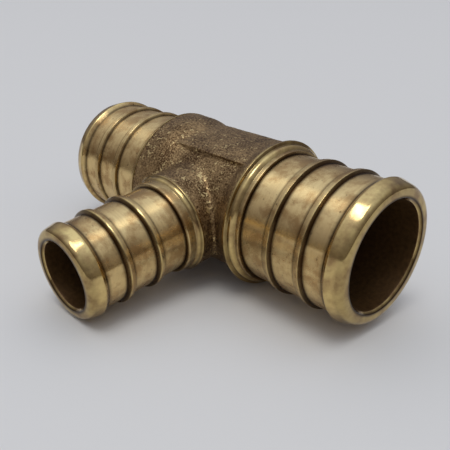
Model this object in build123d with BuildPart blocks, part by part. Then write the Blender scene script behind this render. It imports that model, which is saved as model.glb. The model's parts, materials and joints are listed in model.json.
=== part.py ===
"""Barbed brass reducing tee for crimped PEX tube, 3/4 in run and 1/2 in branch.

One casting, with three barbs, their collars and the waterways machined into
it.  It is drawn about its own axes, with the run along X, the branch along -Y
and the label pad on +Z, and is then rolled about the run until it lies on its
two run collars and the end rib of the branch, as it does on a bench.  The
origin is where the axes of the run and the branch cross.  Millimetres.
"""

import os
from math import asin, atan2, degrees, hypot, isclose, sqrt

from build123d import *

# ---- Run: two barbs for 3/4 in tube ----------------------------------------
run_bore_r = 6.8
run_barrel_r = 8.45  # barb between its ribs
run_rib_r = 8.9  # barb over its ribs
run_rim_r = 8.3  # flat rim at the mouth

# ---- Branch: one barb for 1/2 in tube --------------------------------------
branch_bore_r = 4.45
branch_barrel_r = 5.85
branch_rib_r = 6.35
branch_rim_r = 5.8

# ---- What the barbs share, all measured along the barb ---------------------
barb_length = 14.9  # from the mouth back to the shoulder that stops the tube
nose_length = 1.3  # rounded lead-in at the mouth
end_land = 0.7  # crest of the end rib
end_slope = 0.9  # back of the end rib
rib_setback = 5.6  # from the mouth to the front of the second rib
rib_pitch = 4.62
rib_land = 0.6  # crest of a rib
rib_flank = 0.22  # either side of a rib
mouth_break = 0.15  # broken edge of the bore

# ---- Collars: a ring of rib size, a sloping face and a turned lip ----------
run_collar_r = 9.85
run_ring = 0.55
run_face = 1.0
branch_collar_r = 6.85
branch_ring = 1.3
branch_face = 0.7
collar_lip = 0.25

# ---- Cast body -------------------------------------------------------------
body_half_length = 9.2  # from the branch's axis to either run collar
neck_length = 1.7  # from the body's side to the branch collar
body_r = 8.85
near_slope = 1.9  # from the +X collar down to the body
far_land = 2.6  # full-height shoulder behind the -X collar
far_slope = 3.6  # from that shoulder down to the body
neck_r = 6.75
neck_fillet = 1.2
pad_half_width = 4.2
pad_step = 0.4  # height of the label pad's long edges over the body
pad_crown = 0.15  # its height over the body along the middle

# ---- Reaches, from the crossing of the axes out along the run and branch ---
run_lip = body_half_length + collar_lip
run_shoulder = run_lip + run_face + run_ring
run_reach = run_shoulder + barb_length
branch_cast_edge = body_r + neck_length
branch_lip = branch_cast_edge + collar_lip
branch_shoulder = branch_lip + branch_face + branch_ring
branch_reach = branch_shoulder + barb_length


def barb_face(reach, barrel_r, rib_r, rim_r):
    """Fill half a barb's section, with its axis along local X."""
    nose = reach - nose_length
    crest = nose - end_land
    with BuildLine() as outline:
        corners = [(reach - barb_length, 0), (reach - barb_length, barrel_r)]
        for rib_front in (reach - rib_setback - rib_pitch, reach - rib_setback):
            land_front = rib_front - rib_flank
            land_back = land_front - rib_land
            corners += [(land_back - rib_flank, barrel_r), (land_back, rib_r)]
            corners += [(land_front, rib_r), (rib_front, barrel_r)]
        corners += [(crest - end_slope, barrel_r), (crest, rib_r), (nose, rib_r)]
        Polyline(*corners)
        EllipticalCenterArc((nose, rim_r), nose_length, rib_r - rim_r, arc_size=90)
        Polyline((reach, rim_r), (reach, 0), corners[0])
    make_face(outline.edges())


def collar_face(cast_edge, lip, shoulder, collar_r, rib_r, ring):
    """Fill half a collar's section, from its cast edge to the barb's shoulder."""
    with BuildLine() as outline:
        foot = (shoulder - ring, rib_r)
        Polyline((cast_edge, 0), (cast_edge, collar_r), (lip, collar_r), foot)
        Polyline(foot, (shoulder, rib_r), (shoulder, 0), (cast_edge, 0))
    make_face(outline.edges())


branch_section = Plane(origin=(0, 0, 0), x_dir=(0, -1, 0), z_dir=(-1, 0, 0))

with BuildPart() as tee_fitting:
    # Cast run and the neck of the branch, blended where they meet.
    with BuildSketch(Plane.YZ):
        Circle(body_r)
    extrude(amount=body_half_length, both=True)
    with BuildSketch(Plane.XZ):
        Circle(neck_r)
    extrude(amount=branch_cast_edge)
    fillet(tee_fitting.edges().filter_by(GeomType.BSPLINE), neck_fillet)

    # Cast shoulders: a short slope by the near collar, a broad one at the far end.
    with BuildSketch(Plane.XZ):
        with BuildLine():
            Polyline(
                (body_half_length - near_slope, 0),
                (body_half_length - near_slope, body_r),
                (body_half_length, run_collar_r),
                (body_half_length, 0),
                close=True,
            )
        make_face()
        with BuildLine():
            far_shoulder = far_land - body_half_length
            Polyline(
                (-body_half_length, 0),
                (-body_half_length, run_collar_r),
                (far_shoulder, run_collar_r),
                (far_shoulder + far_slope, body_r),
                (far_shoulder + far_slope, 0),
                close=True,
            )
        make_face()
    revolve(axis=Axis.X)

    # Label pad along the top of the run, left bare, running into both shoulders.
    pad_edge_z = sqrt(body_r**2 - pad_half_width**2) + pad_step
    pad_start = far_shoulder
    with BuildSketch(Plane.YZ.offset(pad_start)):
        with BuildLine():
            front = (-pad_half_width, pad_edge_z)
            back = (pad_half_width, pad_edge_z)
            ThreePointArc(front, (0, body_r + pad_crown), back)
            Polyline(back, (pad_half_width, 0), (-pad_half_width, 0), front)
        make_face()
    extrude(amount=body_half_length - pad_start)

    # Turned collars and barbs, the same at both ends of the run.
    with BuildSketch(Plane.XZ):
        collar_face(body_half_length, run_lip, run_shoulder, run_collar_r, run_rib_r, run_ring)
        barb_face(run_reach, run_barrel_r, run_rib_r, run_rim_r)
        mirror(about=Plane.YZ)
    revolve(axis=Axis.X)
    with BuildSketch(branch_section):
        collar_face(
            branch_cast_edge, branch_lip, branch_shoulder, branch_collar_r, branch_rib_r, branch_ring
        )
        barb_face(branch_reach, branch_barrel_r, branch_rib_r, branch_rim_r)
    revolve(axis=Axis.Y)

    # Waterways, with the edges of their mouths broken.
    with BuildSketch(Plane.YZ):
        Circle(run_bore_r)
    extrude(amount=run_reach, both=True, mode=Mode.SUBTRACT)
    with BuildSketch(Plane.XZ):
        Circle(branch_bore_r)
    extrude(amount=branch_reach, mode=Mode.SUBTRACT)
    circles = tee_fitting.edges().filter_by(GeomType.CIRCLE)
    run_mouths = circles.filter_by(lambda edge: isclose(edge.radius, run_bore_r)).group_by(Axis.X)
    branch_mouths = circles.filter_by(lambda edge: isclose(edge.radius, branch_bore_r)).group_by(Axis.Y)
    chamfer(run_mouths[0] + run_mouths[-1] + branch_mouths[0], mouth_break)

# It rests on the run's collars and on the front of the branch's end rib.
tip_reach = branch_reach - nose_length
dip = asin(run_collar_r / hypot(tip_reach, branch_rib_r)) - atan2(branch_rib_r, tip_reach)
resting = tee_fitting.part.rotate(Axis.X, degrees(dip))
resting.label = "tee_fitting"

os.makedirs("parts", exist_ok=True)
export_step(resting, "parts/tee_fitting.step")
print(f"dip {degrees(dip):.6f} degrees, volume {resting.volume:.1f} mm3")
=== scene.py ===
"""Barbed brass reducing tee: turned barbs and collars on a sand-cast body.

The casting is one solid piece of metal.  Its turned ends are lathed meshes,
its cast middle is blended, grained and then bored through, and all of them
stand for the one CAD node and ride on the one body.  Sizes are millimetres
out from the crossing of the waterways; Blender's own units are metres.
"""

import json
import logging
import math
from dataclasses import dataclass
from enum import Enum

import bpy
import numpy as np
from mathutils import Matrix, Vector, noise


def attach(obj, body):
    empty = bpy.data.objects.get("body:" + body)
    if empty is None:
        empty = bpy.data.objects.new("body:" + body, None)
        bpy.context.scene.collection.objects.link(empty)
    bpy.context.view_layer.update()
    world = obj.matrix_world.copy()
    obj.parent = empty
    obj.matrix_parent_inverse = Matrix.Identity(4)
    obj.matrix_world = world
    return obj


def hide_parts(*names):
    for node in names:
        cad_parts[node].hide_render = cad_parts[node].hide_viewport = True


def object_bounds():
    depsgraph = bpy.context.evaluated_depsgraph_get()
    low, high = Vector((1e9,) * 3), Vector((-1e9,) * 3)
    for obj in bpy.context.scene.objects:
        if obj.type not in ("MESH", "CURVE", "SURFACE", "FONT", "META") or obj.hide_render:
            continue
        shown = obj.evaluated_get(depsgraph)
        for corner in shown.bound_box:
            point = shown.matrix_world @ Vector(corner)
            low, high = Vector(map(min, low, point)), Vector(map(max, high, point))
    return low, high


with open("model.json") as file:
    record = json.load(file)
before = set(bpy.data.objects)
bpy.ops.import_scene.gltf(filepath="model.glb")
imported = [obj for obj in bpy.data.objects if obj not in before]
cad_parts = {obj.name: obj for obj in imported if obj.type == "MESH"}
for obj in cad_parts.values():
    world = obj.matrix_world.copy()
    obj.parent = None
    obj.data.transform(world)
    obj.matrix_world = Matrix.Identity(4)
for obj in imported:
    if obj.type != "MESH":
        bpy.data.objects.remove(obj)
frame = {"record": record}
CAD_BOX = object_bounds()

MM = 0.001
CAD_NODE = "tee_fitting"
BODY = "root"

log = logging.getLogger("tee")


class Finish(Enum):
    """How a surface of the fitting was made; the value is its slot in each mesh."""

    TURNED = 0
    BURNISHED = 1
    BORED = 2
    CAST = 3


# ---- Colour and nodes -------------------------------------------------------


def linear(colour: str) -> tuple[float, float, float, float]:
    """Turn an sRGB hex colour to Blender's linear RGBA.

    Args:
        colour: six hex digits after a hash, such as "#dcbf7b".

    Returns:
        Linear red, green, blue and an alpha of 1.
    """
    parts = [int(colour[i : i + 2], 16) / 255 for i in (1, 3, 5)]
    red, green, blue = (
        part / 12.92 if part <= 0.04045 else ((part + 0.055) / 1.055) ** 2.4 for part in parts
    )
    return red, green, blue, 1.0


def add(
    tree: bpy.types.NodeTree, kind: str, settings: dict | None = None, **links
) -> bpy.types.Node:
    """Add one node with its settings and links.

    Args:
        tree: the node tree it goes in.
        kind: the node's type, without the "ShaderNode" that starts its name.
        settings: values for its properties, or for its inputs by name or number.
        links: an output socket for each input, by the input's name with _ for a
            space, or by its number after "input_".

    Returns:
        The new node.
    """
    made = tree.nodes.new("ShaderNode" + kind)
    for key, value in (settings or {}).items():
        if isinstance(key, int) or key in made.inputs:
            made.inputs[key].default_value = value
        else:
            setattr(made, key, value)
    for key, socket in links.items():
        place = int(key[6:]) if key.startswith("input_") else key.replace("_", " ")
        tree.links.new(socket, made.inputs[place])
    return made


def ramp(
    tree: bpy.types.NodeTree, factor: bpy.types.NodeSocket, stops: list[tuple]
) -> bpy.types.NodeSocket:
    """Map a factor to colours or greys.

    Args:
        tree: the node tree it goes in.
        factor: the value that is mapped.
        stops: each a position and a hex colour or a grey level.

    Returns:
        The colour output.
    """
    made = add(tree, "ValToRGB", Fac=factor)
    band = made.color_ramp.elements
    while len(band) < len(stops):
        band.new(0.5)
    for element, (position, level) in zip(band, stops):
        element.position = position
        element.color = linear(level) if isinstance(level, str) else (level, level, level, 1)
    return made.outputs["Color"]


def blend(tree: bpy.types.NodeTree, factor: bpy.types.NodeSocket, low, high) -> bpy.types.NodeSocket:
    """Mix two colours, each a socket or a hex string.

    Args:
        tree: the node tree it goes in.
        factor: 0 gives low and 1 gives high.
        low: the first colour.
        high: the second colour.

    Returns:
        The mixed colour's socket.
    """
    made = add(tree, "Mix", {"data_type": "RGBA"})
    tree.links.new(factor, made.inputs["Factor"])
    for socket, colour in zip((made.inputs[6], made.inputs[7]), (low, high)):
        if isinstance(colour, str):
            socket.default_value = linear(colour)
        else:
            tree.links.new(colour, socket)
    return made.outputs[2]


def new_material(name: str) -> tuple[bpy.types.Material, bpy.types.NodeTree, bpy.types.Node]:
    """Make an empty material and return it with its tree and Principled shader."""
    material = bpy.data.materials.new(name)
    material.use_nodes = True
    tree = material.node_tree
    return material, tree, tree.nodes["Principled BSDF"]


def wire(tree: bpy.types.NodeTree, shader: bpy.types.Node, **links) -> None:
    """Link sockets to a shader's inputs, named with _ for a space."""
    for key, socket in links.items():
        tree.links.new(socket, shader.inputs[key.replace("_", " ")])


# ---- Finishes ---------------------------------------------------------------


@dataclass(frozen=True)
class LatheTurnedBrass:
    """Yellow brass faced on a lathe, then handled.

    The tool leaves fine rings, so a reflection keeps its edge round the barb
    and smears along it.  Handling leaves dull, browner smudges, and oil and
    dust stay in the corners, which are darkened further by painted shade.
    """

    clean: str = "#e6c98e"
    smudged: str = "#b3905f"
    # dark brown of the dirt and painted shade in the corners, and of the specks
    corner_dirt_and_shade: str = "#321d0d"
    smudge_mm: float = 2.4
    speck_mm: float = 0.55
    ring_mm: float = 0.45  # real tool marks are about 0.1 mm apart, too fine to show
    roughness: tuple[float, float] = (0.22, 0.3)
    anisotropy: float = 0.99

    def build(self) -> bpy.types.Material:
        """Return the material."""
        material, tree, shader = new_material("brass_lathe_turned")
        place = add(tree, "TexCoord").outputs["Object"]
        along = add(tree, "UVMap", {"uv_map": "turning"}).outputs["UV"]
        smudge = add(
            tree,
            "TexNoise",
            {"Scale": 1 / (self.smudge_mm * MM), "Detail": 5.0, "Roughness": 0.62},
            Vector=place,
        ).outputs["Fac"]
        stretched = add(tree, "Mapping", {"Scale": (1 / (self.ring_mm * MM), 25.0, 1.0)}, Vector=along)
        rings = add(
            tree, "TexNoise", {"Scale": 1.0, "Detail": 3.0, "Roughness": 0.6}, Vector=stretched.outputs[0]
        ).outputs["Fac"]
        dirt_and_shade = add(tree, "Attribute", {"attribute_name": "dirt_and_shade"}).outputs["Fac"]
        speck = add(
            tree, "TexNoise", {"Scale": 1 / (self.speck_mm * MM), "Detail": 2.0}, Vector=place
        ).outputs["Fac"]
        patches = ramp(tree, smudge, [(0.45, 0.0), (0.62, 0.9)])
        lines = ramp(tree, rings, [(0.35, 0.0), (0.75, 0.3)])
        specks = ramp(tree, speck, [(0.68, 0.0), (0.76, 0.7)])
        metal = blend(tree, patches, self.clean, self.smudged)
        metal = blend(tree, lines, metal, self.smudged)
        metal = blend(tree, specks, metal, self.corner_dirt_and_shade)
        # corners darkened by dirt and painted shade
        colour = blend(tree, dirt_and_shade, metal, self.corner_dirt_and_shade)
        dull = add(
            tree,
            "MapRange",
            {"From Min": 0.3, "From Max": 0.7, "To Min": self.roughness[0], "To Max": self.roughness[1]},
            Value=smudge,
        ).outputs[0]
        relief = add(
            tree, "Bump", {"Strength": 0.12, "Distance": 0.02 * MM}, Height=rings
        ).outputs["Normal"]
        tangent = add(tree, "Tangent", {"direction_type": "UV_MAP", "uv_map": "turning"}).outputs[0]
        shader.inputs["Metallic"].default_value = 1.0
        shader.inputs["Anisotropic"].default_value = self.anisotropy
        wire(tree, shader, Base_Color=colour, Roughness=dull, Normal=relief, Tangent=tangent)
        return material


@dataclass(frozen=True)
class BurnishedBrass:
    """Brass formed by a smooth tool at the mouths and collars, so it mirrors lamps sharply."""

    clean: str = "#dabf80"
    smudged: str = "#a2845a"
    # dark brown of the dirt and painted shade in the corners
    corner_dirt_and_shade: str = "#3b2913"
    smudge_mm: float = 1.8
    roughness: tuple[float, float] = (0.11, 0.2)

    def build(self) -> bpy.types.Material:
        """Return the material."""
        material, tree, shader = new_material("brass_burnished")
        place = add(tree, "TexCoord").outputs["Object"]
        smudge = add(
            tree,
            "TexNoise",
            {"Scale": 1 / (self.smudge_mm * MM), "Detail": 5.0, "Roughness": 0.6},
            Vector=place,
        ).outputs["Fac"]
        dirt_and_shade = add(tree, "Attribute", {"attribute_name": "dirt_and_shade"}).outputs["Fac"]
        patches = ramp(tree, smudge, [(0.38, 0.0), (0.68, 1.0)])
        # corners darkened by dirt and painted shade
        colour = blend(tree, dirt_and_shade, blend(tree, patches, self.clean, self.smudged), self.corner_dirt_and_shade)
        dull = add(
            tree,
            "MapRange",
            {"From Min": 0.3, "From Max": 0.7, "To Min": self.roughness[0], "To Max": self.roughness[1]},
            Value=smudge,
        ).outputs[0]
        relief = add(
            tree, "Bump", {"Strength": 0.1, "Distance": 0.05 * MM}, Height=smudge
        ).outputs["Normal"]
        shader.inputs["Metallic"].default_value = 1.0
        wire(tree, shader, Base_Color=colour, Roughness=dull, Normal=relief)
        return material


@dataclass(frozen=True)
class BoredBrass:
    """Drilled brass inside the waterways, under a dull brown film of old cutting oil, darkened further as
    painted shade of the deep bores.
    """

    # dark browns of the oil film, made darker as painted shade of the deep bores
    film_and_shade: str = "#7a5a34"
    thick_film_and_shade: str = "#3a2613"
    drill_ring_mm: float = 0.5

    def build(self) -> bpy.types.Material:
        """Return the material."""
        material, tree, shader = new_material("brass_bored_oil_film_and_shade")
        place = add(tree, "TexCoord").outputs["Object"]
        mark = add(
            tree, "TexNoise", {"Scale": 1 / (self.drill_ring_mm * MM), "Detail": 3.0}, Vector=place
        ).outputs["Fac"]
        # the bore's dark brown: oil film and painted shade
        colour = blend(tree, mark, self.film_and_shade, self.thick_film_and_shade)
        relief = add(
            tree, "Bump", {"Strength": 0.4, "Distance": 0.05 * MM}, Height=mark
        ).outputs["Normal"]
        shader.inputs["Metallic"].default_value = 0.6
        shader.inputs["Roughness"].default_value = 0.42
        wire(tree, shader, Base_Color=colour, Normal=relief)
        return material


@dataclass(frozen=True)
class SandCastBrass:
    """Brass as it left the sand mould: grainy, oxidised brown, rubbed bright and painted with glints on its
    highest grains.
    """

    oxide: str = "#4a331c"
    metal: str = "#a2855c"
    # pale colour of rubbed metal and of painted glints
    rubbed_and_glint: str = "#d6bc84"
    patch_mm: float = 2.8
    grain_mm: float = 0.22
    roughness: tuple[float, float] = (0.46, 0.3)

    def build(self) -> bpy.types.Material:
        """Return the material."""
        material, tree, shader = new_material("brass_sand_cast")
        place = add(tree, "TexCoord").outputs["Object"]
        patch = add(
            tree,
            "TexNoise",
            {"Scale": 1 / (self.patch_mm * MM), "Detail": 3.0, "Roughness": 0.5},
            Vector=place,
        ).outputs["Fac"]
        grain = add(
            tree,
            "TexNoise",
            {"Scale": 1 / (self.grain_mm * MM), "Detail": 2.0, "Roughness": 0.5},
            Vector=place,
        ).outputs["Fac"]
        height = add(tree, "Attribute", {"attribute_name": "height"}).outputs["Fac"]
        mixed = add(
            tree, "Math", {"operation": "MULTIPLY_ADD", 1: 0.6}, input_0=patch, input_2=grain
        ).outputs[0]
        colour = blend(tree, ramp(tree, mixed, [(0.62, 0.0), (0.98, 1.0)]), self.oxide, self.metal)
        # rubbed metal and painted glints: the highest grains, the bands beside the neck and the far shoulder
        # take the pale colour
        rub_and_glint = add(tree, "Attribute", {"attribute_name": "rub_and_glint"}).outputs["Fac"]
        raised = add(
            tree, "Math", {"operation": "MULTIPLY_ADD", 1: 0.22}, input_0=rub_and_glint, input_2=height
        ).outputs[0]
        sparkle = add(tree, "Math", {"operation": "MULTIPLY"}, input_0=raised, input_1=grain).outputs[0]
        bright = ramp(tree, sparkle, [(0.4, 0.0), (0.52, 0.75)])
        colour = blend(tree, bright, colour, self.rubbed_and_glint)
        rough, smooth = self.roughness
        dull = add(
            tree,
            "MapRange",
            {"From Min": 0.0, "From Max": 1.0, "To Min": rough, "To Max": smooth},
            Value=bright,
        ).outputs[0]
        relief = add(
            tree, "Bump", {"Strength": 0.8, "Distance": 0.06 * MM}, Height=grain
        ).outputs["Normal"]
        shader.inputs["Metallic"].default_value = 0.9
        wire(tree, shader, Base_Color=colour, Roughness=dull, Normal=relief)
        return material


# ---- Turned work ------------------------------------------------------------


@dataclass(frozen=True)
class Corner:
    """A corner of a turned outline, in millimetres.

    Attributes:
        along: out along the axis from the crossing.
        radius: out from the axis.
        ease: how far before the corner its rounding starts.
        ease_out: how far after it the rounding ends; None for the same.
        dirt_and_shade: how much dirt and painted shade darken the surface near the corner, from 0 to 1.
        stain_and_shade: how much stain and painted shade darken the surface from this corner to the next,
            from 0 to 1.
        finish: the finish of the surface from this corner to the next.
    """

    along: float
    radius: float
    ease: float = 0.06
    ease_out: float | None = None
    dirt_and_shade: float = 0.0
    stain_and_shade: float = 0.0
    finish: Finish = Finish.TURNED


@dataclass
class Outline:
    """A closed turned outline, traced from its corners as a list of stations."""

    corners: list[Corner]
    step: float = 0.4
    ease_steps: int = 7
    # how far a corner's dirt and painted shade reach, in millimetres
    dirt_and_shade_reach: float = 0.27

    def trace(self) -> tuple[np.ndarray, np.ndarray, list[Finish]]:
        """Trace the outline.

        Returns:
            The stations as (along, radius), the dirt and painted shade at each, and the finish after each.
        """
        stations: list[Vector] = []
        owners: list[Corner] = []
        for index, corner in enumerate(self.corners):
            here = Vector((corner.along, corner.radius))
            before = self.corners[index - 1]
            after = self.corners[(index + 1) % len(self.corners)]
            back = (Vector((before.along, before.radius)) - here).normalized()
            ahead = (Vector((after.along, after.radius)) - here).normalized()
            ease_out = corner.ease if corner.ease_out is None else corner.ease_out
            start, end = here + back * corner.ease, here + ahead * ease_out
            for share in np.linspace(0, 1, self.ease_steps):
                near = start.lerp(here, share)
                stations.append(near.lerp(here.lerp(end, share), share))
                owners.append(corner)
        return self._divided(stations, owners)

    def _divided(
        self, stations: list[Vector], owners: list[Corner]
    ) -> tuple[np.ndarray, np.ndarray, list[Finish]]:
        """Divide the long runs between stations and work out the dirt and painted shade at each."""
        points, kinds, stain_and_shade_levels = [], [], []
        for index, station in enumerate(stations):
            onward = stations[(index + 1) % len(stations)]
            parts = max(1, math.ceil((onward - station).length / self.step))
            for part in range(parts):
                points.append(station.lerp(onward, part / parts))
                kinds.append(owners[index].finish)
                stain_and_shade_levels.append(owners[index].stain_and_shade)
        line = np.array([tuple(point) for point in points])
        dirt_and_shade = np.array(stain_and_shade_levels)
        for corner in self.corners:
            gap = np.hypot(line[:, 0] - corner.along, line[:, 1] - corner.radius)
            dirt_and_shade = np.maximum(dirt_and_shade, corner.dirt_and_shade * np.exp(-((gap / self.dirt_and_shade_reach) ** 2)))
        return line, dirt_and_shade, kinds


@dataclass(frozen=True)
class Spindle:
    """An axis out of the crossing of the waterways, with two directions square to it."""

    outward: Vector

    @property
    def sides(self) -> tuple[Vector, Vector]:
        """Two unit vectors square to the axis, the first level and the second upward."""
        level = Vector((0, 0, 1)).cross(self.outward).normalized()
        return level, self.outward.cross(level)

    def points(self, along: np.ndarray, radius: np.ndarray, turn: np.ndarray) -> np.ndarray:
        """Place points given along, out from and round the axis, all in millimetres and radians."""
        level, upward = (np.array(side) for side in self.sides)
        out = level * np.cos(turn)[..., None] + upward * np.sin(turn)[..., None]
        return np.array(self.outward) * along[..., None] + out * radius[..., None]


def lathe(name: str, spindle: Spindle, outline: Outline, rings: int, wear: float) -> bpy.types.Object:
    """Turn a closed outline round an axis into a closed ring of metal.

    Args:
        name: the new object's name.
        spindle: the axis it is turned on.
        outline: its section.
        rings: how many steps there are round the axis.
        wear: the depth of its slight unevenness, in millimetres.

    Returns:
        The new object, in metres, with its finish numbers, its dirt and painted shade, and its turning map.
    """
    line, dirt_and_shade, finishes = outline.trace()
    count = len(line)
    turn = np.linspace(0, 2 * math.pi, rings, endpoint=False)
    along = np.repeat(line[:, 0][:, None], rings, 1)
    radius = np.repeat(line[:, 1][:, None], rings, 1)
    places = spindle.points(along, radius, np.broadcast_to(turn, along.shape))
    uneven = np.array([noise.noise(Vector(place) / 2.2) for place in places.reshape(-1, 3)])
    radius = radius - wear * (0.5 + 0.5 * uneven.reshape(radius.shape))
    places = spindle.points(along, radius, np.broadcast_to(turn, along.shape)).reshape(-1, 3)
    index = np.arange(count * rings).reshape(count, rings)
    onward, round_ = np.roll(index, -1, 0), np.roll(index, -1, 1)
    faces = np.stack([index, onward, np.roll(onward, -1, 1), round_], -1).reshape(-1, 4)
    mesh = bpy.data.meshes.new(name)
    mesh.from_pydata((places * MM).tolist(), [], faces.tolist())
    mesh.polygons.foreach_set("use_smooth", [True] * len(mesh.polygons))
    slots = np.repeat([kind.value for kind in finishes], rings)
    mesh.polygons.foreach_set("material_index", slots)
    # dirt and painted shade near the corners, for the finishes
    layer = mesh.attributes.new("dirt_and_shade", "FLOAT", "POINT")
    layer.data.foreach_set("value", np.repeat(dirt_and_shade, rings))
    _map_turning(mesh, line, rings)
    made = bpy.data.objects.new(name, mesh)
    bpy.context.scene.collection.objects.link(made)
    return made


def _map_turning(mesh: bpy.types.Mesh, line: np.ndarray, rings: int) -> None:
    """Give a lathed mesh a map whose first axis runs along the outline, in metres."""
    lengths = np.hypot(*(np.roll(line, -1, 0) - line).T)
    start = np.concatenate([[0], np.cumsum(lengths)[:-1]])
    girth = 2 * math.pi * line[:, 1].mean() / rings
    count = len(line)
    low = np.repeat(start, rings)
    high = np.repeat(start + lengths, rings)
    left = np.tile(np.arange(rings) * girth, count)
    corners = np.stack([low, left, high, left, high, left + girth, low, left + girth], -1) * MM
    layer = mesh.uv_layers.new(name="turning")
    layer.data.foreach_set("uv", corners.reshape(-1))


@dataclass
class Barb:
    """One turned end: its collar, barrel, ribs, mouth and bore, in millimetres."""

    name: str
    spindle: Spindle
    cast_edge: float
    bore_r: float
    barrel_r: float
    rib_r: float
    bulb_r: float
    rim_r: float
    collar_r: float
    face: float
    ring: float
    lip: float = 0.25
    lip_slope: float = 0.14  # how far the drop from the lip to the bead reaches
    bead_place: float = 0.6  # how far along the collar's face the bead is
    bead_height: float = 0.5  # how far up from the ribs to the lip the bead is
    bead_fall: float = 0.06  # how much lower the bead is at its front than at its back
    length: float = 14.9
    nose: float = 1.3
    end_land: float = 0.75
    end_slope: float = 0.6
    rib_setback: float = 5.45
    rib_pitch: float = 4.62
    rib_land: float = 0.75
    rib_flank: float = 0.18
    rib_fall: float = 0.07  # how much lower the back of a rib is than its crest
    edge: float = 0.2  # width of the bright front edge of a rib or collar
    rim_ease: float = 0.75
    mouth_break: float = 0.34
    rings: int = 288
    wear: float = 0.012

    @property
    def shoulder(self) -> float:
        """Where the barb meets its collar."""
        return self.cast_edge + self.lip + self.face + self.ring

    @property
    def reach(self) -> float:
        """Where the mouth is."""
        return self.shoulder + self.length

    def collar(self) -> list[Corner]:
        """Return the collar's corners, from the bore at the casting to the barrel."""
        foot = self.shoulder - self.ring
        lip = self.cast_edge + self.lip
        bead = lip + self.bead_place * self.face
        bead_r = self.rib_r + self.bead_height * (self.collar_r - self.rib_r)
        # Painted shade: the darkened concave corners are dirt with painted shade, and the darkened step at
        # the shoulder is painted shade; the browner lip and ring are stain.
        return [
            Corner(self.cast_edge, self.bore_r, 0.01),
            Corner(self.cast_edge, self.collar_r, 0.05, dirt_and_shade=0.4, stain_and_shade=0.3, finish=Finish.BURNISHED),
            Corner(lip, self.collar_r, 0.08, stain_and_shade=0.35, finish=Finish.BURNISHED),
            Corner(
                lip + self.lip_slope,
                bead_r + self.bead_fall,
                0.06,
                dirt_and_shade=0.6,
                stain_and_shade=0.1,
                finish=Finish.BURNISHED,
            ),
            Corner(bead, bead_r, 0.2, finish=Finish.BURNISHED),
            Corner(foot, self.rib_r - 0.02, 0.08, 0.05, dirt_and_shade=0.5, stain_and_shade=0.35),
            Corner(self.shoulder - self.edge, self.rib_r, 0.05, stain_and_shade=0.1),
            Corner(self.shoulder, self.rib_r - 0.5 * self.edge, 0.04, stain_and_shade=0.6),
            Corner(self.shoulder, self.barrel_r, 0.06, dirt_and_shade=1.0),
        ]

    def rib(self, front: float) -> list[Corner]:
        """Return the corners of the rib whose front foot is at this place."""
        crest = front - self.rib_flank
        back = crest - self.rib_land
        # Painted shade: the darkened feet are dirt with painted shade, the darkened front flank is painted
        # shade, and the duller back slope is stain with painted shade.
        return [
            Corner(back - self.rib_flank, self.barrel_r, 0.05, dirt_and_shade=0.85, stain_and_shade=0.4),
            Corner(back, self.rib_r - self.rib_fall, 0.08, stain_and_shade=0.25),
            Corner(crest - self.edge, self.rib_r, 0.05, finish=Finish.BURNISHED),
            Corner(crest, self.rib_r - 0.5 * self.edge, 0.04, stain_and_shade=0.8),
            Corner(front, self.barrel_r, 0.06, dirt_and_shade=1.0),
        ]

    def mouth(self) -> list[Corner]:
        """Return the corners of the end rib, the rounded nose and the rim."""
        crest = self.reach - self.nose - self.end_land
        # Painted shade: the darkened foot of the end rib is dirt with painted shade, and the fully darkened
        # chamfer inside the rim is painted shade.
        return [
            Corner(crest - self.end_slope, self.barrel_r, 0.22, dirt_and_shade=0.85),
            Corner(crest, self.bulb_r, 0.2, finish=Finish.BURNISHED),
            Corner(self.reach, self.rim_r, self.rim_ease, stain_and_shade=0.25, finish=Finish.BURNISHED),
            Corner(self.reach, self.bore_r + self.mouth_break, 0.05, stain_and_shade=1.0, finish=Finish.BURNISHED),
            Corner(self.reach - self.mouth_break, self.bore_r, 0.06, finish=Finish.BORED),
        ]

    def build(self) -> bpy.types.Object:
        """Return the barb as one closed mesh."""
        second = self.reach - self.rib_setback
        corners = self.collar() + self.rib(second - self.rib_pitch) + self.rib(second) + self.mouth()
        return lathe(self.name, self.spindle, Outline(corners), self.rings, self.wear)


# ---- Cast body --------------------------------------------------------------


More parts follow.
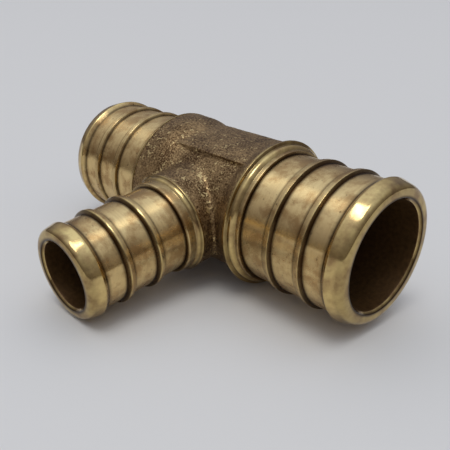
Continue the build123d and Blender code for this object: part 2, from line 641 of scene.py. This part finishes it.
@dataclass
class CastBody:
    """The cast middle of the fitting, between its three collars, in millimetres."""

    run: Spindle
    branch: Spindle
    half_length: float
    run_bore_r: float
    branch_bore_r: float
    shoulder_r: float
    body_r: float = 8.8
    near_slope: float = 1.9
    far_land: float = 2.6
    far_slope: float = 3.6
    neck_r: float = 6.7
    neck_length: float = 10.55
    tuck: float = 0.2  # how far the casting runs on inside the collars
    pad_half_width: float = 4.2
    pad_step: float = 0.6
    pad_crown: float = 0.12
    voxel: float = 0.16
    blend_reach: float = 1.3
    blend_passes: int = 60
    grain: float = 0.05
    coarse_grain: float = 0.8
    fine_grain: float = 0.36
    rub_and_glint_neck_r: float = 7.0  # the rubbed band beside the neck, partly a painted highlight: out from the branch's axis
    rub_and_glint_run_r: float = 9.3  # and out from the run's
    rub_and_glint_shoulder: float = -8.4  # the rubbed patch on the far shoulder, with painted glints: along the run
    rub_and_glint_turn: float = 38.0  # and round it, in degrees up from level

    def run_core(self) -> bpy.types.Object:
        """Return the cast run with its two shoulders."""
        end, top, low = self.half_length, self.shoulder_r, self.body_r
        far = self.far_land - end
        corners = [
            Corner(-end - self.tuck, 1.0, 0.01),
            Corner(-end - self.tuck, top, 0.01),
            Corner(far, top, 0.9),
            Corner(far + self.far_slope, low, 1.2),
            Corner(end - self.near_slope, low, 0.5),
            Corner(end - 0.2, top, 0.25),
            Corner(end + self.tuck, top, 0.01),
            Corner(end + self.tuck, 1.0, 0.01),
        ]
        return lathe("run_core", self.run, Outline(corners, step=1.0), 180, 0.0)

    def neck_core(self) -> bpy.types.Object:
        """Return the neck of the branch."""
        end = self.neck_length + self.tuck
        corners = [
            Corner(1.0, 1.0, 0.01),
            Corner(1.0, self.neck_r, 0.01),
            Corner(end, self.neck_r, 0.01),
            Corner(end, 1.0, 0.01),
        ]
        return lathe("neck_core", self.branch, Outline(corners, step=1.0), 180, 0.0)

    def pad_core(self) -> bpy.types.Object:
        """Return the bare label pad along the top of the run."""
        level = math.sqrt(self.body_r**2 - self.pad_half_width**2) + self.pad_step
        rise = self.body_r + self.pad_crown - level
        width = self.pad_half_width
        top = [
            (across * width, level + rise * (1 - across**2)) for across in np.linspace(-1, 1, 25)
        ]
        section = [*top, (width * 0.8, 3.0), (-width * 0.8, 3.0)]
        upright = Matrix.Rotation(math.atan2(-self.branch.outward.z, -self.branch.outward.y), 3, "X")
        ends = (self.far_land - self.half_length, self.half_length)
        return prism("pad_core", [upright @ Vector((end, *point)) * MM for end in ends for point in section])

    def cutter(
        self, name: str, spindle: Spindle, radius: float, low: float, high: float
    ) -> bpy.types.Object:
        """Return a solid cylinder that bores a waterway, from low to high along its axis."""
        turn = np.linspace(0, 2 * math.pi, 200, endpoint=False)
        ends = [
            spindle.points(np.full_like(turn, end), np.full_like(turn, radius), turn) for end in (low, high)
        ]
        return prism(name, (np.concatenate(ends) * MM).tolist())

    def build(self, finishes: list[bpy.types.Material]) -> bpy.types.Object:
        """Blend, grain and bore the casting.

        Args:
            finishes: the materials in the order of Finish.

        Returns:
            The cast body as one closed mesh.
        """
        cores = [self.run_core(), self.neck_core(), self.pad_core()]
        body = joined("cast_body", cores)
        remesh = body.modifiers.new("blend", "REMESH")
        remesh.mode = "VOXEL"
        remesh.voxel_size = self.voxel * MM
        apply_modifiers(body)
        self._soften(body)
        self._roughen(body)
        set_finishes(body, finishes, Finish.CAST)
        reach = self.neck_length + 2
        cutters = [
            self.cutter("run_drill", self.run, self.run_bore_r, -self.half_length - 2, self.half_length + 2),
            self.cutter("branch_drill", self.branch, self.branch_bore_r, 0.0, reach),
        ]
        for drill in cutters:
            set_finishes(drill, finishes, Finish.BORED)
            cut = body.modifiers.new(drill.name, "BOOLEAN")
            cut.operation = "DIFFERENCE"
            cut.solver = "EXACT"
            cut.material_mode = "INDEX"
            cut.object = drill
        apply_modifiers(body)
        for drill in cutters:
            bpy.data.objects.remove(drill)
        body.data.set_sharp_from_angle(angle=math.radians(50))
        return body

    def _soften(self, body: bpy.types.Object) -> None:
        """Round the inside corner where the neck leaves the run."""
        places = vertex_places(body) / MM
        along_branch = places @ np.array(self.branch.outward)
        from_branch = np.linalg.norm(places - along_branch[:, None] * np.array(self.branch.outward), axis=1)
        from_run = np.hypot(places[:, 1], places[:, 2])
        gap = np.hypot(from_run - self.body_r, from_branch - self.neck_r)
        gap[along_branch < 0] = 99
        weight = np.clip(1.5 - gap / self.blend_reach, 0, 1)
        group = body.vertex_groups.new(name="junction")
        for index in np.nonzero(weight)[0]:
            group.add([int(index)], float(weight[index]), "REPLACE")
        whole = body.modifiers.new("ease", "SMOOTH")
        whole.iterations = 2
        local = body.modifiers.new("fillet", "SMOOTH")
        local.iterations = self.blend_passes
        local.vertex_group = group.name
        apply_modifiers(body)

    def _roughen(self, body: bpy.types.Object) -> None:
        """Raise the mould's grain on the casting and keep its height for the finish."""
        mesh = body.data
        places = vertex_places(body)
        normals = np.zeros(len(mesh.vertices) * 3, np.float32)
        mesh.vertices.foreach_get("normal", normals)
        heights = np.array(
            [
                0.4 * noise.noise(Vector(place) / (self.coarse_grain * MM))
                + 0.6 * noise.noise(Vector(place) / (self.fine_grain * MM))
                for place in places
            ]
        )
        places = places + normals.reshape(-1, 3) * (heights * self.grain * MM)[:, None]
        mesh.vertices.foreach_set("co", places.reshape(-1))
        kept = {"height": np.clip(0.5 + heights, 0, 1), "rub_and_glint": self._rub_and_glint_places(places / MM)}
        for name, values in kept.items():
            layer = mesh.attributes.new(name, "FLOAT", "POINT")
            layer.data.foreach_set("value", values)

    def _rub_and_glint_places(self, places: np.ndarray) -> np.ndarray:
        """Return where the casting is rubbed bright and painted with glints: a band down each side of the
        neck, and the far shoulder.
        """
        outward = np.array(self.branch.outward)
        from_branch = np.linalg.norm(places - (places @ outward)[:, None] * outward, axis=1)
        from_run = np.hypot(places[:, 1], places[:, 2])
        beside_neck = (from_branch - self.rub_and_glint_neck_r) / 0.35
        band = np.exp(-(beside_neck**2) - ((from_run - self.rub_and_glint_run_r) / 0.7) ** 2)
        turn = np.degrees(np.arctan2(places[:, 2], -places[:, 1]))
        along_run = (places[:, 0] - self.rub_and_glint_shoulder) / 1.4
        shoulder = np.exp(-(along_run**2) - ((turn - self.rub_and_glint_turn) / 14) ** 2)
        return np.maximum(band, shoulder)


# ---- Mesh helpers -----------------------------------------------------------


def vertex_places(piece: bpy.types.Object) -> np.ndarray:
    """Return a mesh's vertices as an array, in metres."""
    places = np.zeros(len(piece.data.vertices) * 3, np.float32)
    piece.data.vertices.foreach_get("co", places)
    return places.reshape(-1, 3)


def prism(name: str, places: list) -> bpy.types.Object:
    """Make a closed prism.

    Args:
        name: the new object's name.
        places: the corners of one end and then those of the other, in metres.

    Returns:
        The new object.
    """
    count = len(places) // 2
    sides = [(i, (i + 1) % count, count + (i + 1) % count, count + i) for i in range(count)]
    caps = [tuple(range(count))[::-1], tuple(range(count, 2 * count))]
    mesh = bpy.data.meshes.new(name)
    mesh.from_pydata(places, [], sides + caps)
    made = bpy.data.objects.new(name, mesh)
    bpy.context.scene.collection.objects.link(made)
    return made


def joined(name: str, parts: list[bpy.types.Object]) -> bpy.types.Object:
    """Join closed parts into one object.

    Args:
        name: the new object's name.
        parts: the parts, which are used up.

    Returns:
        The joined object.
    """
    places, faces = [], []
    for part in parts:
        start = len(places)
        places += [tuple(vertex.co) for vertex in part.data.vertices]
        faces += [tuple(start + i for i in face.vertices) for face in part.data.polygons]
        bpy.data.objects.remove(part)
    mesh = bpy.data.meshes.new(name)
    mesh.from_pydata(places, [], faces)
    made = bpy.data.objects.new(name, mesh)
    bpy.context.scene.collection.objects.link(made)
    return made


def apply_modifiers(piece: bpy.types.Object) -> None:
    """Replace a piece's mesh by what its modifiers make of it."""
    graph = bpy.context.evaluated_depsgraph_get()
    mesh = bpy.data.meshes.new_from_object(piece.evaluated_get(graph), depsgraph=graph)
    piece.modifiers.clear()
    piece.data = mesh
    piece.data.polygons.foreach_set("use_smooth", [True] * len(mesh.polygons))


def set_finishes(
    piece: bpy.types.Object, finishes: list[bpy.types.Material], only: Finish | None = None
) -> None:
    """Give a piece the finishes in the order of Finish, and one of them all over if only is given."""
    for finish in finishes:
        piece.data.materials.append(finish)
    if only is not None:
        piece.data.polygons.foreach_set("material_index", [only.value] * len(piece.data.polygons))


# ---- Studio -----------------------------------------------------------------


def heading(azimuth: float, elevation: float) -> Vector:
    """Return the unit vector toward an azimuth from +X and an elevation, in degrees."""
    level = math.cos(math.radians(elevation))
    turn = math.radians(azimuth)
    return Vector((math.cos(turn) * level, math.sin(turn) * level, math.sin(math.radians(elevation))))


@dataclass
class Studio:
    """A level pale floor in a plain grey room, one soft overhead lamp and the camera."""

    floor_z: float
    floor_colour: str = "#dcd9d3"
    floor_half_m: float = 1.6
    lamp_azimuth: float = -66.0
    lamp_elevation: float = 74.0
    lamp_distance_m: float = 4.0
    lamp_size_m: tuple[float, float] = (1.6, 1.6)
    lamp_watts: float = 40.0
    bright_azimuth: float = -150.0
    bright_elevation: float = 80.0
    bright_levels: tuple[float, float] = (0.8, 1.5)
    walls: tuple[tuple[float, str], ...] = (
        (0.0, "#6f6963"),
        (0.1, "#8b8684"),
        (0.34, "#9d9ba1"),
        (0.57, "#acadb3"),
        (0.73, "#bcc0cb"),
        (0.85, "#c6cedd"),
        (1.0, "#ccd5e6"),
    )
    camera_mm: tuple[float, float, float] = (57.27, -59.31, 31.78)
    camera_azimuth: float = 50.8
    camera_elevation: float = 26.61
    camera_roll: float = -0.26
    lens_mm: float = 48.86
    shift: tuple[float, float] = (0.1494, 0.0612)

    def floor(self) -> bpy.types.Object:
        """Return the floor."""
        half = self.floor_half_m
        mesh = bpy.data.meshes.new("floor")
        corners = [(x * half, y * half, self.floor_z) for x, y in ((-1, -1), (1, -1), (1, 1), (-1, 1))]
        mesh.from_pydata(corners, [], [(0, 1, 2, 3)])
        made = bpy.data.objects.new("floor", mesh)
        bpy.context.scene.collection.objects.link(made)
        material, tree, shader = new_material("board_matt_painted")
        shader.inputs["Base Color"].default_value = linear(self.floor_colour)
        shader.inputs["Roughness"].default_value = 0.7
        mesh.materials.append(material)
        return made

    def lamp(self) -> None:
        """Hang the lamp, which shows as a pale oblong in the burnished noses."""
        light = bpy.data.lights.new("overhead_softbox", "AREA")
        light.shape = "RECTANGLE"
        light.size, light.size_y = self.lamp_size_m
        light.energy = self.lamp_watts
        made = bpy.data.objects.new("overhead_softbox", light)
        toward = heading(self.lamp_azimuth, self.lamp_elevation)
        made.location = toward * self.lamp_distance_m
        made.rotation_euler = toward.to_track_quat("Z", "Y").to_euler()
        bpy.context.scene.collection.objects.link(made)

    def room(self) -> None:
        """Light the room: dim by the floor and pale overhead."""
        world = bpy.data.worlds.new("room")
        bpy.context.scene.world = world
        world.use_nodes = True
        tree = world.node_tree
        direction = add(tree, "TexCoord").outputs["Generated"]
        height = add(tree, "SeparateXYZ", Vector=direction).outputs["Z"]
        sky = ramp(tree, height, self.walls)
        brightest = heading(self.bright_azimuth, self.bright_elevation)
        facing = add(
            tree, "VectorMath", {"operation": "DOT_PRODUCT", 1: tuple(brightest)}, input_0=direction
        ).outputs["Value"]
        low, high = self.bright_levels
        level = add(
            tree, "MapRange", {"From Min": 0.3, "From Max": 0.95, "To Min": low, "To Max": high}, Value=facing
        )
        background = tree.nodes["Background"]
        tree.links.new(sky, background.inputs["Color"])
        tree.links.new(level.outputs[0], background.inputs["Strength"])

    def camera(self) -> None:
        """Place the camera."""
        lens = bpy.data.cameras.new("camera")
        lens.lens = self.lens_mm
        lens.sensor_width = 36.0
        lens.shift_x, lens.shift_y = self.shift
        lens.clip_start = 2 * MM
        lens.clip_end = 20.0
        made = bpy.data.objects.new("camera", lens)
        made.location = Vector(self.camera_mm) * MM
        azimuth, elevation = math.radians(self.camera_azimuth), math.radians(self.camera_elevation)
        turn = (
            Matrix.Rotation(azimuth, 3, "Z")
            @ Matrix.Rotation(math.pi / 2 - elevation, 3, "X")
            @ Matrix.Rotation(math.radians(self.camera_roll), 3, "Z")
        )
        made.rotation_euler = turn.to_euler()
        bpy.context.scene.collection.objects.link(made)
        bpy.context.scene.camera = made

    def build(self) -> None:
        """Set up the floor, room, lamp and camera."""
        self.floor()
        self.room()
        self.lamp()
        self.camera()
        bpy.context.scene.view_settings.view_transform = "Standard"


# ---- The fitting ------------------------------------------------------------


def mounts() -> dict[str, dict]:
    """Return the record's mounts by name."""
    return {mount["name"]: mount for mount in frame["record"]["mounts"]}


@dataclass
class TeeFitting:
    """The whole fitting, with its main sizes read from the frame."""

    half_length: float = 9.2
    run_collar_r: float = 9.85
    branch_collar_r: float = 6.85
    neck_length: float = 10.55

    def barbs(self) -> list[Barb]:
        """Return the two barbs of the run and the barb of the branch."""
        stated = mounts()
        run_bore = stated["run_bore"]["dims"]["r_mm"]
        run_rib = stated["run_barb_near"]["dims"]["r_mm"]
        branch = Spindle(Vector(stated["branch_bore"]["axis"]).normalized())
        ends = [("run_barb_near", Vector((1, 0, 0)), 0.08), ("run_barb_far", Vector((-1, 0, 0)), 0.18)]
        made = [
            Barb(
                name=name,
                spindle=Spindle(outward),
                cast_edge=self.half_length,
                bore_r=run_bore,
                barrel_r=8.45,
                rib_r=run_rib,
                bulb_r=9.05,
                rim_r=8.5,
                collar_r=self.run_collar_r,
                face=1.0,
                ring=0.55,
                edge=edge,
            )
            for name, outward, edge in ends
        ]
        made.append(
            Barb(
                name="branch_barb",
                spindle=branch,
                cast_edge=self.neck_length,
                bore_r=stated["branch_bore"]["dims"]["r_mm"],
                barrel_r=5.85,
                rib_r=stated["branch_barb"]["dims"]["r_mm"],
                bulb_r=stated["branch_barb"]["dims"]["r_mm"],
                rim_r=5.98,
                collar_r=self.branch_collar_r,
                face=0.7,
                ring=1.3,
                rings=216,
            )
        )
        return made

    def cast_body(self) -> CastBody:
        """Return the cast middle."""
        stated = mounts()
        return CastBody(
            run=Spindle(Vector((1, 0, 0))),
            branch=Spindle(Vector(stated["branch_bore"]["axis"]).normalized()),
            half_length=self.half_length,
            run_bore_r=stated["run_bore"]["dims"]["r_mm"],
            branch_bore_r=stated["branch_bore"]["dims"]["r_mm"],
            shoulder_r=self.run_collar_r - 0.07,
            neck_length=self.neck_length,
        )

    def build(self) -> list[bpy.types.Object]:
        """Build every piece and dress it.

        Returns:
            The pieces, each riding on the one body.
        """
        finishes = [
            LatheTurnedBrass().build(),
            BurnishedBrass().build(),
            BoredBrass().build(),
            SandCastBrass().build(),
        ]
        pieces = []
        for barb in self.barbs():
            piece = barb.build()
            set_finishes(piece, finishes)
            pieces.append(piece)
        pieces.append(self.cast_body().build(finishes))
        for piece in pieces:
            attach(piece, BODY)
            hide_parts(CAD_NODE)
            log.info("%s: %d faces", piece.name, len(piece.data.polygons))
        return pieces


def main() -> None:
    """Build the fitting and its studio, and report each piece."""
    logging.basicConfig(level=logging.INFO, format="%(name)s %(message)s")
    low, _ = CAD_BOX
    TeeFitting().build()
    Studio(floor_z=low.z).build()


if __name__ == "__main__":
    main()
